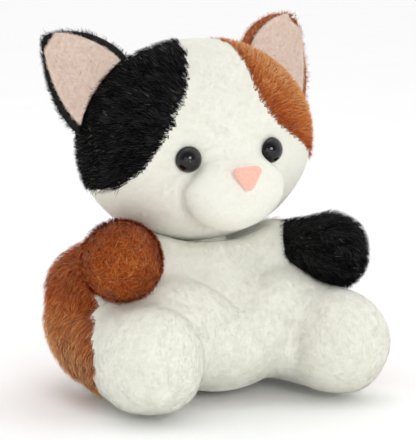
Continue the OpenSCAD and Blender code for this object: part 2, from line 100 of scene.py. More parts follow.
def upright(points):
    return turned(np.asarray(points, float), NECK, -LEAN)


# ------------------------------------------------------------------ shapes as distances
def unit(v):
    return v / np.maximum(np.linalg.norm(v, axis=-1, keepdims=True), 1e-9)


def ellipsoid(p, c, r):
    q = (p - c) / r
    k = np.linalg.norm(q, axis=-1)
    g = np.linalg.norm(q / r, axis=-1)
    return k * (k - 1) / np.maximum(g, 1e-9)


def limb(p, a, b, ra, rb):
    axis = b - a
    t = np.clip(((p - a) @ axis) / (axis @ axis), 0, 1)
    near = a + t[..., None] * axis
    return np.linalg.norm(p - near, axis=-1) - (ra + (rb - ra) * t)


def join(a, b, k):
    h = np.maximum(k - np.abs(a - b), 0) / k
    return np.minimum(a, b) - h * h * k / 4


def cut(a, b, k):
    """Shape a with shape b taken out."""
    return -join(-a, b, k)


def line_distance(p, points):
    best = np.full(p.shape[:-1], 1e9)
    for a, b in zip(points[:-1], points[1:]):
        axis = b - a
        t = np.clip(((p - a) @ axis) / (axis @ axis), 0, 1)
        best = np.minimum(best, np.linalg.norm(p - a - t[..., None] * axis, axis=-1))
    return best


def crease(p, points, depth, width):
    """How far a sewn or pressed line pulls the surface in."""
    return depth * np.exp(-((line_distance(p, np.array(points, float)) / width) ** 2))


def waves(p, size, seed):
    """Smooth noise from -1 to 1 with lumps of that size."""
    rng = np.random.default_rng(seed)
    total = np.zeros(p.shape[:-1])
    for _ in range(6):
        d = unit(rng.normal(size=3)) * rng.uniform(0.7, 1.5) * 2 * math.pi / size
        total = total + np.sin(p @ d + rng.uniform(0, 2 * math.pi))
    return total / 3.2


# ------------------------------------------------------------------ meshing
CORNERS = [(i, j, k) for i in (0, 1) for j in (0, 1) for k in (0, 1)]
EDGES = [(a, b) for a in CORNERS for b in CORNERS if sum(b) - sum(a) == 1
         and all(y >= x for x, y in zip(a, b))]


def surface(distance, low, high, step):
    """Quads on the zero surface of a distance function, by surface nets."""
    axes = [np.arange(low[i], high[i] + step, step) for i in range(3)]
    grid = np.stack(np.meshgrid(*axes, indexing="ij"), axis=-1)
    f = distance(grid)
    shape = tuple(n - 1 for n in f.shape)

    def corner(c):
        return f[c[0]:c[0] + shape[0], c[1]:c[1] + shape[1], c[2]:c[2] + shape[2]]

    total = np.zeros(shape + (3,))
    count = np.zeros(shape)
    for a, b in EDGES:
        fa, fb = corner(a), corner(b)
        hit = (fa < 0) != (fb < 0)
        t = np.where(hit, fa / np.where(hit, fa - fb, 1), 0)
        for i in range(3):
            total[..., i] += np.where(hit, a[i] + t * (b[i] - a[i]), 0)
        count += hit
    live = count > 0
    index = np.full(shape, -1)
    index[live] = np.arange(live.sum())
    cells = np.argwhere(live)
    verts = np.array(low) + step * (cells + total[live] / count[live][:, None])
    quads = []
    for axis in range(3):
        u, v = (axis + 1) % 3, (axis + 2) % 3
        inside = f < 0
        first = np.take(inside, range(f.shape[axis] - 1), axis)
        second = np.take(inside, range(1, f.shape[axis]), axis)
        where = np.argwhere(first != second)
        keep = (where[:, u] > 0) & (where[:, v] > 0)
        keep &= (where[:, u] < shape[u]) & (where[:, v] < shape[v])
        where = where[keep]
        ring = []
        for du, dv in ((-1, -1), (0, -1), (0, 0), (-1, 0)):
            cell = where.copy()
            cell[:, u] += du
            cell[:, v] += dv
            ring.append(index[cell[:, 0], cell[:, 1], cell[:, 2]])
        quad = np.stack(ring, axis=1)
        out = first[where[:, 0], where[:, 1], where[:, 2]]
        quad[~out] = quad[~out][:, ::-1]
        quads.append(quad)
    return verts, np.concatenate(quads)


def gradient(distance, p):
    e = 0.3
    g = [distance(p + e * d) - distance(p - e * d) for d in np.eye(3)]
    return unit(np.stack(g, axis=-1))


def settle(distance, verts):
    """Moves the points of a net onto the surface itself."""
    for _ in range(2):
        verts = verts - gradient(distance, verts) * distance(verts)[:, None]
    return verts


class Skin:
    """Points, quads and normals of one skin, with the quads of its parts."""

    def __init__(self, distance, low, high, step):
        verts, self.quads = surface(distance, low, high, step)
        self.verts = settle(distance, verts)
        self.normals = gradient(distance, self.verts)

    def part(self, mask):
        """The skin of the quads whose middles the mask keeps."""
        out = Skin.__new__(Skin)
        quads = self.quads[mask]
        used, inverse = np.unique(quads, return_inverse=True)
        out.verts, out.normals = self.verts[used], self.normals[used]
        out.quads = inverse.reshape(quads.shape)
        return out

    def middles(self):
        return self.verts[self.quads].mean(axis=1)


def make_mesh(name, verts, faces_list, normals=None, smooth=True):
    """A mesh object from points in millimetres and arrays of faces."""
    mesh = bpy.data.meshes.new(name)
    mesh.vertices.add(len(verts))
    mesh.vertices.foreach_set("co", (np.asarray(verts) * MM).astype(np.float32).ravel())
    loops = np.concatenate([f.ravel() for f in faces_list])
    sizes = np.concatenate([np.full(len(f), f.shape[1]) for f in faces_list])
    starts = np.concatenate([[0], np.cumsum(sizes)[:-1]])
    mesh.loops.add(len(loops))
    mesh.loops.foreach_set("vertex_index", loops.astype(np.int32))
    mesh.polygons.add(len(sizes))
    mesh.polygons.foreach_set("loop_start", starts.astype(np.int32))
    mesh.polygons.foreach_set("loop_total", sizes.astype(np.int32))
    mesh.polygons.foreach_set("use_smooth", np.full(len(sizes), smooth))
    mesh.update(calc_edges=True)
    mesh.validate()
    if normals is not None:
        mesh.normals_split_custom_set_from_vertices(normals.astype(np.float32))
    obj = bpy.data.objects.new(name, mesh)
    bpy.context.scene.collection.objects.link(obj)
    return obj


# ------------------------------------------------------------------ materials
def cloth_material(name, dark, light, rough=0.9, sheen=0.4, grain=900, bump=0.25):
    """The cloth under the pile: fine mottling and a felted bump."""
    mat = bpy.data.materials.new(name)
    mat.use_nodes = True
    nodes, links = mat.node_tree.nodes, mat.node_tree.links
    shader = nodes["Principled BSDF"]
    coords = nodes.new("ShaderNodeTexCoord")
    fine = nodes.new("ShaderNodeTexNoise")
    fine.inputs["Scale"].default_value = grain
    fine.inputs["Detail"].default_value = 3
    ramp = nodes.new("ShaderNodeValToRGB")
    ramp.color_ramp.elements[0].position = 0.35
    ramp.color_ramp.elements[1].position = 0.65
    ramp.color_ramp.elements[0].color = (*dark, 1)
    ramp.color_ramp.elements[1].color = (*light, 1)
    lumps = nodes.new("ShaderNodeBump")
    lumps.inputs["Strength"].default_value = bump
    lumps.inputs["Distance"].default_value = 0.0004
    links.new(coords.outputs["Object"], fine.inputs["Vector"])
    links.new(fine.outputs["Fac"], ramp.inputs["Fac"])
    links.new(ramp.outputs["Color"], shader.inputs["Base Color"])
    links.new(fine.outputs["Fac"], lumps.inputs["Height"])
    links.new(lumps.outputs["Normal"], shader.inputs["Normal"])
    shader.inputs["Roughness"].default_value = rough
    shader.inputs["Sheen Weight"].default_value = sheen
    shader.inputs["Sheen Roughness"].default_value = 0.5
    return mat


def pile_material(name, colour, rough=0.8, sheen=0.0, specular=0.3):
    """One shade of the pile's strands."""
    mat = bpy.data.materials.new(name)
    mat.use_nodes = True
    shader = mat.node_tree.nodes["Principled BSDF"]
    shader.inputs["Base Color"].default_value = (*colour, 1)
    shader.inputs["Roughness"].default_value = rough
    shader.inputs["Sheen Weight"].default_value = sheen
    shader.inputs["Sheen Roughness"].default_value = 0.4
    shader.inputs["Specular IOR Level"].default_value = specular
    return mat


def plain_material(name, colour, rough, grain=300, spread=0.06):
    """A hard or woven surface with slight unevenness in colour."""
    dark = tuple(c * (1 - spread) for c in colour)
    return cloth_material(name, dark, colour, rough=rough, sheen=0, grain=grain, bump=0.08)


def shades(name, colours, **look):
    return [pile_material(f"{name}_{i}", c, **look) for i, c in enumerate(colours)]


WHITE_CLOTH = cloth_material("white_cloth", (0.82, 0.815, 0.73), (0.86, 0.855, 0.775))
BROWN_CLOTH = cloth_material("brown_cloth", (0.20, 0.042, 0.007), (0.36, 0.09, 0.02), sheen=0.05)
BLACK_CLOTH = cloth_material("black_cloth", (0.002, 0.002, 0.0022), (0.005, 0.005, 0.005), sheen=0)
PINK_CLOTH = cloth_material("pink_cloth", (0.70, 0.54, 0.45), (0.78, 0.63, 0.54), sheen=0.1)
WHITE_PILE = shades(
    "white_pile", [(0.83, 0.83, 0.74), (0.85, 0.85, 0.765), (0.87, 0.87, 0.79)], specular=0.05
)
BROWN_PILE = shades(
    "brown_pile",
    [(0.15, 0.020, 0.003), (0.31, 0.048, 0.007), (0.48, 0.10, 0.015), (0.61, 0.19, 0.042),
     (0.68, 0.31, 0.11), (0.74, 0.44, 0.22)],
    specular=0.08,
)
# The fourth, light shade of the black pile is painted glints: painted highlights on a few strands.
BLACK_PILE = shades(
    "black_pile", [(0.001, 0.001, 0.0012), (0.0025, 0.0024, 0.0026), (0.008, 0.0076, 0.0076),
                   (0.17, 0.145, 0.10)],
    rough=0.6, specular=0.02,
)
PINK_PILE = shades(
    "pink_pile", [(0.70, 0.54, 0.45), (0.76, 0.61, 0.52), (0.82, 0.68, 0.59)], specular=0.05
)
# Each fabric: its cloth, the shades of its pile and its slot.
WHITE = (WHITE_CLOTH, WHITE_PILE, "white_plush")
BROWN = (BROWN_CLOTH, BROWN_PILE, "brown_plush")
BLACK = (BLACK_CLOTH, BLACK_PILE, "black_plush")
PINK = (PINK_CLOTH, PINK_PILE, "pink_plush")

# ------------------------------------------------------------------ the pile
ROOT_DEPTH = 0.3
# The white pile is the finest and lies flattest.
FINE_PILE = {"width": 0.075, "rise": 0.2, "clump": 0.25, "gloss": 0.04, "twist": 0.12}


def blades(name, skin, comb, shades_list, tone, length, density, seed,
           width=0.09, rise=0.36, clump=0.35, bare=None, gloss=0.2, twist=0.4):
    """Strands of pile on a skin. comb gives the way they are brushed, tone their shade
    from 0 to 1, rise how steeply they stand."""
    rng = np.random.default_rng(seed)
    tri = np.concatenate([skin.quads[:, [0, 1, 2]], skin.quads[:, [0, 2, 3]]])
    corners = skin.verts[tri]
    area = np.linalg.norm(
        np.cross(corners[:, 1] - corners[:, 0], corners[:, 2] - corners[:, 0]), axis=1
    ) / 2
    count = int(area.sum() * density * (1))
    pick = rng.choice(len(tri), count, p=area / area.sum())
    r = np.sqrt(rng.random(count))
    s = rng.random(count)
    w = np.stack([1 - r, r * (1 - s), r * s], axis=1)[..., None]
    root = (skin.verts[tri[pick]] * w).sum(axis=1)
    normal = unit((skin.normals[tri[pick]] * w).sum(axis=1))
    if bare is not None:
        keep = ~bare(root)
        root, normal = root[keep], normal[keep]
        count = len(root)
    way = comb(root)
    drift = np.stack([waves(root, 9, seed + i) for i in range(3)], axis=1)
    fine = np.stack([waves(root, 3.5, seed + 7 + i) for i in range(3)], axis=1)
    way = way + clump * drift + clump * 0.5 * fine + 0.28 * rng.normal(size=root.shape)
    way = unit(way - normal * (way * normal).sum(axis=1, keepdims=True))
    stand = rise * (1 + 0.25 * rng.normal(size=(count, 1)))
    first = unit(normal * stand * 1.7 + way)
    second = unit(normal * stand * 0.45 + way)
    long = length * (0.75 + 0.5 * rng.random((count, 1)))
    half = width * (0.8 + 0.4 * rng.random((count, 1)))
    side = unit(np.cross(way, normal) + twist * rng.normal(size=root.shape))
    base = root - normal * ROOT_DEPTH
    middle = base + first * long * 0.55
    tip = middle + second * long * 0.5
    foot, waist = side * half, side * half * 0.8
    points = [base - foot, base + foot, middle - waist, middle + waist, tip]
    verts = np.stack(points, axis=1).reshape(-1, 3)
    shade_normal = unit(normal + gloss * side * rng.normal(size=(count, 1)))
    normals = np.repeat(shade_normal, 5, axis=0)
    start = np.arange(count)[:, None] * 5
    lower = start + np.array([0, 1, 3, 2])
    upper = start + np.array([2, 3, 4])
    obj = make_mesh(name, verts, [lower, upper], normals)
    n = len(shades_list)
    value = np.clip(tone(root) + 0.16 * rng.normal(size=count), 0, 1) * (n - 1)
    shade = np.clip(np.round(value), 0, n - 1).astype(np.int32)
    # Each strand's lower part takes a darker shade than its tip: painted shade at the roots of the pile.
    under = np.clip(np.round(value - 0.6), 0, n - 1).astype(np.int32)
    obj.data.polygons.foreach_set("material_index", np.concatenate([under, shade]))
    for mat in shades_list:
        obj.data.materials.append(mat)
    return obj


def flat_tone(value):
    return lambda p: value + 0.12 * waves(p, 14, 5)


def show_skin(name, skin, mat, nodes, mover):
    """Adds the skin itself and sets what it stands for and rides on."""
    obj = make_mesh(name, skin.verts, [skin.quads], skin.normals)
    obj.data.materials.append(mat)
    mover(obj)
    if nodes:
        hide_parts(*nodes)
    return obj


def show_pile(obj, mover):
    mover(obj)
    return obj


def riding(body):
    return lambda obj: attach(obj, body)


def furnish(name, skin, fabric, nodes, move, comb, tone, length, density, seed, bare=None):
    """A skin and the pile that grows on it."""
    cloth, pile, slot = fabric
    look = FINE_PILE if fabric is WHITE else {}
    show_skin(f"skin_{name}", skin, cloth, nodes, move)
    strands = blades(f"pile_{name}", skin, comb, pile, tone, length, density, seed, bare=bare, **look)
    show_pile(strands, move)


# ------------------------------------------------------------------ head
EYE = np.array([16.0, -26.8, -2.3])
MUZZLE = np.array([0.5, -24.0, -13.5])
MUZZLE_R = np.array([19.5, 13.6, 15.0])
SOCKET_DEPTH, SOCKET_R = 1.5, 6.0
MUZZLE_DIP = 20


def head_seams(q):
    """Sewn lines of the face, in the head's own frame: over the muzzle and down its sides."""
    over = [(-15, -26.5, -5), (-11, -29.5, -1.5), (-4, -31.5, 0.5), (4, -31.5, 0.5), (11, -29.5, -1.5)]
    return (
        crease(q, over, 1.0, 1.6)
        + crease(q, [over[0], (-18.5, -23, -12), (-17, -22, -20), (-12, -21, -26)], 2.0, 2.6)
        + crease(q, [over[-1], (15, -26.5, -5), (19, -22, -13)], 1.2, 2.2)
    )


def head_distance(p):
    q = upright(p) - HEAD
    skull = ellipsoid(q, np.zeros(3), HEAD_R - SKIN_UNDER)
    muzzle = ellipsoid(q, MUZZLE, MUZZLE_R - SKIN_UNDER * 0.5)
    d = join(skull, muzzle, 4.6)
    for side in (RIGHT, LEFT):
        away = np.linalg.norm(q - mirrored(EYE, side), axis=-1)
        d = d + SOCKET_DEPTH * np.exp(-((away / SOCKET_R) ** 2))
    return d + head_seams(q) + 0.25 * waves(q, 30, 11)


def head_angles(p):
    """Turn about the muzzle's axis, clockwise from the top, and opening from it."""
    dip = math.radians(MUZZLE_DIP)
    v = unit((upright(p) - HEAD) / HEAD_R)
    y = v[:, 1] * math.cos(dip) + v[:, 2] * math.sin(dip)
    z = -v[:, 1] * math.sin(dip) + v[:, 2] * math.cos(dip)
    return np.degrees(np.arctan2(v[:, 0], z)), np.degrees(np.arccos(np.clip(-y, -1, 1)))


BLACK_EDGE = [(-120, 116), (-114, 92), (-108, 75), (-102, 61), (-96, 53), (-84, 46), (-66, 42),
              (-48, 42.5), (-36, 47), (-24, 55.5), (-18, 63), (-12, 78), (-7, 116)]
BROWN_EDGE = [(13, 116), (15, 80), (19, 58), (24, 49), (30, 44), (36, 41.5), (48, 41), (60, 42.5),
              (72, 46), (84, 54), (96, 65), (102, 76), (108, 94), (114, 116)]
BACK_EDGE = 118


def beyond(turn, opening, edge):
    turns, opens = zip(*edge)
    return (turn > turns[0]) & (turn < turns[-1]) & (opening > np.interp(turn, turns, opens))


def head_comb(p):
    """The pile runs back from the nose, and down over the cheeks."""
    q = upright(p) - HEAD
    away = unit(q - np.array([0, -40, -4]))
    return unit(away * np.array([1, 1, 0.8]) + np.array([0, 0.25, -0.35]))


NOSE_BARE, EYE_BARE = 5.6, 4.9
HEAD_STEP, BODY_STEP, LIMB_STEP = 1.3, 1.35, 1.1


def build_head():
    reach = HEAD_R + 8
    head = Skin(head_distance, HEAD - reach - np.array([2, 8, 2]), HEAD + reach, HEAD_STEP)
    turn, opening = head_angles(head.middles())
    ragged = 0.8 * waves(head.middles(), 5, 3)
    black = beyond(turn, opening + ragged, BLACK_EDGE) & (opening < BACK_EDGE)
    brown = beyond(turn, opening + ragged, BROWN_EDGE) & (opening < BACK_EDGE)
    back = opening >= BACK_EDGE
    q = upright(head.middles()) - HEAD
    muzzle = ellipsoid(q, MUZZLE, MUZZLE_R + 0.4) < np.where(q[:, 1] < -22, 0.3, -9)
    face = ~(black | brown | back | muzzle)
    # Name, mask, fabric, CAD nodes it stands for, tone, length of the pile and strands per mm2.
    parts = [
        ("head_face", face, WHITE, ["head_face_panel", "head_fill"], flat_tone(0.6), 2.0, 6.0),
        ("muzzle", muzzle, WHITE, ["muzzle_panel", "muzzle_fill"], flat_tone(0.66), 1.6, 6.5),
        ("head_patch_black", black, BLACK, ["head_patch_black"], flat_tone(0.45), 3.6, 3.0),
        ("head_patch_brown", brown, BROWN, ["head_patch_brown"], patch_tone, 3.6, 3.0),
        ("head_back", back, WHITE, ["head_back_panel"], flat_tone(0.6), 3.6, 1.6),
    ]
    move = riding("head")
    nose = centre("nose")
    nose[1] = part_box("nose")[0][1] / MM

    def bare(p):
        """No strands grow through the nose and the eyes."""
        covered = np.linalg.norm((p - nose) * np.array([1, 0.5, 1.25]), axis=-1) < NOSE_BARE
        for side in (RIGHT, LEFT):
            covered |= np.linalg.norm(upright(p) - HEAD - mirrored(EYE, side), axis=-1) < EYE_BARE
        return covered

    for i, (name, mask, fabric, nodes, tone, length, density) in enumerate(parts):
        seed = 100 + 20 * i
        furnish(
            name, head.part(mask), fabric, nodes, move, head_comb, tone, length, density, seed, bare
        )


def brown_tone_painted_shade(p):
    """Darker rust higher up and lighter tan lower down: painted shade where the arm shades the upper back,
    painted light where the haunches face up; the small lumps of tone are random.
    """
    low = np.clip((36 - p[:, 2]) / 18, 0, 1)
    return 0.42 + 0.58 * low + 0.13 * waves(p, 16, 8) + 0.08 * waves(p, 5, 9)


def patch_tone(p):
    turn, opening = head_angles(p)
    depth = opening - np.interp(turn, *zip(*BROWN_EDGE))
    return 0.36 + 0.5 * np.clip(depth / 30, 0, 1) + 0.1 * waves(p, 9, 8)


# ------------------------------------------------------------------ body and legs
BODY_FORMS = [
    (at(AXIS, 0, 13, 25), np.array([50.0, 32, 28])),
    (at(AXIS, 0, -10, 19), np.array([26.0, 28, 19.5])),
    (at(AXIS, 0, -6, 25), np.array([46.0, 25, 16])),
    (at(AXIS, 0, 0, 40), np.array([30.0, 23, 19])),
    (at(AXIS, -28, 14, 37), np.array([22.5, 20, 16])),
    (at(AXIS, 28, 14, 37), np.array([22.5, 20, 16])),
]
SHOULDER_HUMP, HUMP_R = at(AXIS, 23.5, -3.5, 44.5), 14.5
HEAD_ROOM = np.array([43.5, 31.5, 35.6])


def torso_distance(p):
    d = None
    for c, r in BODY_FORMS:
        e = ellipsoid(p, c, r - SKIN_UNDER)
        d = e if d is None else join(d, e, 9)
    for side in (RIGHT, LEFT):
        hump = np.linalg.norm(p - mirrored(SHOULDER_HUMP, side), axis=-1) - HUMP_R
        d = join(d, hump, 8)
    return cut(d, ellipsoid(p, HEAD, HEAD_ROOM), 4)


def leg_distance(p, side):
    d = limb(p, mirrored(HIP, side), mirrored(FOOT, side), HIP_R - SKIN_UNDER, FOOT_R - SKIN_UNDER)
    return cut(d, p[..., 2] - FLOOR_GAP - 0.3, 4)


# The pellets fill the lap up to a soft step in front of the chest.
LAP, LAP_R = at(AXIS, 18, -19, 27), np.array([24.0, 17, 18.5])
LEG_JOIN, LAP_JOIN = 9, 5


def lap_distance(p, side):
    return ellipsoid(p, mirrored(LAP, side), LAP_R - SKIN_UNDER)


def body_folds(p):
    """Folds under the chin, the legs' inner pinches and the flanks."""
    q = p - AXIS
    under_chin = [(-36, -20, 39), (-20, -31, 37.5), (-4, -35, 35.5), (10, -35, 36), (26, -30, 38)]
    right_flank = [(-52, 30, 30), (-54, 18, 30), (-53, 6, 31), (-46, -6, 34), (-35, -13, 37)]
    left_flank = [(52, 30, 30), (54, 18, 30), (53, 6, 31), (46, -6, 34), (35, -13, 37)]
    return (
        crease(q, under_chin, 0.9, 1.6)
        + crease(q, [(-14, -22, 44), (-6, -25, 38), (0, -28, 33)], 1.0, 2.6)
        + crease(q, [(16, -19, 46), (10, -24, 40), (4, -28, 34)], 1.0, 2.6)
        + crease(q, [(15, -42, 8), (14.5, -38, 17), (17, -36, 25)], 1.4, 2.4)
        + crease(q, [(-15, -42, 8), (-14.5, -38, 17), (-17, -36, 25)], 1.1, 2.4)
        + crease(q, right_flank, 3.5, 3.0)
        + crease(q, left_flank, 3.0, 3.0)
    )


def body_distance(p):
    d = torso_distance(p)
    for side in (RIGHT, LEFT):
        d = join(d, leg_distance(p, side), LEG_JOIN)
    for side in (RIGHT, LEFT):
        d = join(d, lap_distance(p, side), LAP_JOIN)
    d = d + body_folds(p) + 0.3 * waves(p, 26, 21)
    return cut(d, p[..., 2] - FLOOR_GAP, 3)


def is_brown(p):
    """The brown back and haunches: behind a line slanting from hip to toe."""
    q = p - AXIS
    out = np.abs(q[:, 0])
    slant = 0.891 * out + 0.454 * q[:, 1] > 34.8 + 0.8 * waves(p, 6, 31)
    behind = q[:, 1] > 8 - 0.176 * out + 0.8 * waves(p, 6, 32)
    return (slant | behind) & ~((q[:, 2] < 2.5) & (out < 22))


def body_comb(p):
    q = p - AXIS
    down = np.array([0, 0, -1.0])
    forward = np.zeros_like(p)
    low = np.clip((30 - q[:, 2]) / 20, 0, 1)
    forward[:, 1] = -np.clip(low * 1.2, 0, 1) * (q[:, 1] < 8)
    sideways, behind = np.sign(q[:, 0]) * 0.25, np.where(q[:, 1] > 8, 0.3, 0)
    outward = np.stack([sideways, behind, np.zeros(len(p))], axis=1)
    return unit(down + forward + outward)


# The leg's cloth is split off at this plane, whose normal is SWAY.
SWAY_START = at(AXIS, 25, -14.6, 20)
SWAY = unit(np.array([0.71, -0.70, -0.18]))
# The leg's cloth is cut from the body's this far before the plane.
CUT_AHEAD = 1.2
UNDERSIDE_SLOPE, UNDERSIDE_TOP = -0.75, 6


def sway(p, side):
    return (p - mirrored(SWAY_START, side)) @ mirrored(SWAY, side)


def leg_mover():
    return lambda obj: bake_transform(obj)


def build_body():
    low = np.array([-58.0, AXIS[1] - 56, -1.5])
    high = np.array([58.0, AXIS[1] + 48, 62])
    body = Skin(body_distance, low, high, BODY_STEP)
    mid = body.middles()
    is_leg = {s: (sway(mid, s) > -CUT_AHEAD) & (mid[:, 0] * s > 0) for s in (RIGHT, LEFT)}
    brown = is_brown(mid)
    rest = ~(is_leg[RIGHT] | is_leg[LEFT])
    slope = body.normals[body.quads].mean(axis=1)[:, 2]
    underside = rest & (slope < UNDERSIDE_SLOPE) & (mid[:, 2] < UNDERSIDE_TOP)
    front, behind = rest & ~brown & ~underside, rest & brown & ~underside
    trunk = riding("body")
    parts = [
        ("chest", front, WHITE, ["chest_panel", "body_fill"], flat_tone(0.6), 2.2, 5.0, trunk),
        ("back", behind, BROWN, ["back_panel"], brown_tone_painted_shade, 4.0, 2.2, trunk),
        ("seat", underside, WHITE, ["seat_panel"], flat_tone(0.5), 2.0, 0.8, trunk),
    ]
    for side, name in ((RIGHT, "right"), (LEFT, "left")):
        foot, haunch = f"leg_{name}_foot", f"leg_{name}_haunch"
        nodes = [foot, f"leg_{name}_fill"]
        tone, move = flat_tone(0.62), leg_mover()
        parts.append((foot, is_leg[side] & ~brown, WHITE, nodes, tone, 2.2, 5.0, move))
        parts.append((haunch, is_leg[side] & brown, BROWN, [haunch], brown_tone_painted_shade, 4.0, 2.2, move))
    for i, (name, mask, fabric, nodes, tone, length, density, move) in enumerate(parts):
        seed = 300 + 20 * i
        furnish(name, body.part(mask), fabric, nodes, move, body_comb, tone, length, density, seed)


# ------------------------------------------------------------------ arms and tail
def build_limb(name, a, b, ra, rb, room, fabric, nodes, tone, body, length, density, seed):
    axis = unit(b - a)

    def shape(p):
        d = limb(p, a, b, ra - SKIN_UNDER, rb - SKIN_UNDER) + 0.25 * waves(p, 18, seed)
        return cut(d, room(p), 2) if room else d

    reach = max(ra, rb) + 4
    skin = Skin(shape, np.minimum(a, b) - reach, np.maximum(a, b) + reach, LIMB_STEP)

    def comb(p):
        at_end = (((p - b) @ axis) > -2)[:, None]
        return unit(axis + np.array([0, 0, -0.5]) + 0.6 * unit(p - b) * at_end)

    furnish(name, skin, fabric, nodes, riding(body), comb, tone, length, density, seed)


SLEEVE_R, PAW_R, PAW_GAP = 9.5, 14.6, 0.4
PAW_DROP = {RIGHT: 1.6, LEFT: 4.6}


def build_limbs():
    for side, name, fabric, tone in (
        (RIGHT, "right", BROWN, brown_tone_painted_shade),
        (LEFT, "left", BLACK, flat_tone(0.45)),
    ):
        nodes = [f"arm_{name}_{part}" for part in ("top", "under", "fill")]
        hand = mirrored(HAND, side) - np.array([0, 0, PAW_DROP[side]])
        build_limb(
            f"arm_{name}", mirrored(SHOULDER, side), hand, SLEEVE_R, PAW_R,
            lambda p, side=side: np.minimum(leg_distance(p, side), lap_distance(p, side)) - PAW_GAP,
            fabric, nodes, tone, f"arm_{name}", 3.6, 3.2, 500 + 40 * side,
        )
    build_limb(
        "tail", TAIL, TAIL_TIP, TAIL_R, TAIL_R * 0.9, None, BROWN,
        ["tail_top", "tail_under", "tail_fill"], brown_tone_painted_shade, "tail", 3.6, 2.2, 600,
    )


NECK_STUFFING_R = 11.2


def build_neck():
    def shape(p):
        return np.linalg.norm(p - NECK, axis=-1) - NECK_STUFFING_R + 0.3 * waves(p, 7, 41)

    skin = Skin(shape, NECK - 13, NECK + 13, LIMB_STEP)
    show_skin("skin_neck", skin, WHITE_CLOTH, ["neck_stuffing"], riding("neck"))


# ------------------------------------------------------------------ ears
EAR_IN, EAR_OUT = at(HEAD, 23, 6, 31), at(HEAD, 43.5, 2, 6.5)
EAR_TIP = at(HEAD, 48.5, 15, 38.5)
EAR_GAP = 0.6
EAR_CUP = 4.0


def ear_point(s, t, shrink):
    """A point of the ear's middle sheet: s along the seam, t from the seam to the tip."""
    middle = (EAR_IN + EAR_OUT) / 2
    across_way = unit(EAR_OUT - EAR_IN)
    up = unit(EAR_TIP - middle)
    front = unit(np.cross(across_way, up))
    across = (s - 0.5) * shrink
    seam = EAR_IN + (EAR_OUT - EAR_IN) * (across + 0.5)[..., None] - HEAD
    u = unit(seam / HEAD_R)
    root = HEAD + u * HEAD_R + unit(u / HEAD_R) * (EAR_GAP - SKIN_UNDER)
    crown = middle + (EAR_TIP - middle) * t[..., None]
    narrow = 1.08 * (1 - t ** 1.8) ** 0.82
    wide = np.linalg.norm(EAR_OUT - EAR_IN) * narrow * across
    flat = crown + across_way * wide[..., None]
    w = ((1 - t) ** 4)[..., None]
    cup = EAR_CUP * (1 - (2 * across) ** 2) * np.sin(math.pi * np.minimum(1, t * 0.85 + 0.1))
    return flat * (1 - w) + root * w - front * cup[..., None], front


def pillow(side, shrink, t0, t1, thick, lift, rows=30, cols=30):
    """A closed thin pad over the ear's sheet, thick in the middle and thin at its rim."""
    out = Skin.__new__(Skin)
    t, s = np.meshgrid(np.linspace(t0, t1, rows + 1), np.linspace(0, 1, cols + 1), indexing="ij")
    mid, front = ear_point(s, t, shrink)
    edge = np.minimum(np.minimum(s, 1 - s) * cols, (1 - (t - t0) / (t1 - t0)) * rows) / 5
    h = thick * np.sqrt(np.clip(edge, 0, 1) * (2 - np.clip(edge, 0, 1)))
    sheets = [mid + front * (lift + sign * h)[..., None] for sign in (1, -1)]
    n = (rows + 1) * (cols + 1)
    idx = np.arange(n).reshape(rows + 1, cols + 1)
    quads = np.stack([idx[:-1, :-1], idx[:-1, 1:], idx[1:, 1:], idx[1:, :-1]], axis=-1).reshape(-1, 4)
    verts = np.concatenate([x.reshape(-1, 3) for x in sheets])
    both = np.concatenate([quads, quads[:, ::-1] + n])
    foot = np.stack([idx[0, 1:], idx[0, :-1], idx[0, :-1] + n, idx[0, 1:] + n], axis=-1)
    both = np.concatenate([both, foot])
    weld = np.arange(2 * n)
    rim = (edge.ravel() < 1e-6)
    weld[n:][rim] = weld[:n][rim]
    both = weld[both]
    verts = mirrored(verts, side)
    if side < 0:
        both = both[:, ::-1]
    verts = lean(verts)
    corner = verts[both]
    face_normal = np.cross(corner[:, 2] - corner[:, 0], corner[:, 3] - corner[:, 1])
    normals = np.zeros_like(verts)
    for k in range(4):
        np.add.at(normals, both[:, k], face_normal)
    used, inverse = np.unique(both, return_inverse=True)
    out.verts, out.normals = verts[used], unit(normals[used])
    out.quads = inverse.reshape(both.shape)
    return out


def build_ears():
    for side, name, (cloth, pile, slot), tone in (
        (RIGHT, "right", BLACK, flat_tone(0.45)),
        (LEFT, "left", BROWN, flat_tone(0.66)),
    ):
        body = f"ear_{name}"
        move = riding(body)
        root = lean(mirrored((EAR_IN + EAR_OUT) / 2, side))

        def comb(p, root=root):
            return unit(p - root)

        outer = pillow(side, 1, 0, 0.985, 1.5, -0.4)
        show_skin(f"skin_{body}", outer, cloth, [f"{body}_outer"], move)
        front = outer.normals[outer.quads].mean(axis=1)[:, 1] < -0.2
        rim = outer.part(front)
        back = outer.part(~front)
        strands = blades(f"pile_{body}", back, comb, pile, tone, 2.8, 3.4, 700 + side)
        show_pile(strands, move)
        strands = blades(
            f"pile_{body}_rim", rim, comb, pile, tone, 1.5, 2.4, 710 + side, rise=0.3
        )
        show_pile(strands, move)
        inner = pillow(side, 0.82, 0.04, 0.9, 0.9, 1.9)
        cloth, pile, slot = PINK
        lining = f"{body}_lining"
        show_skin(f"skin_{lining}", inner, cloth, [lining], move)
        strands = blades(
            f"pile_{lining}", inner, comb, pile, flat_tone(0.6), 1.3, 4.0, 720 + side, rise=0.5
        )
        show_pile(strands, move)


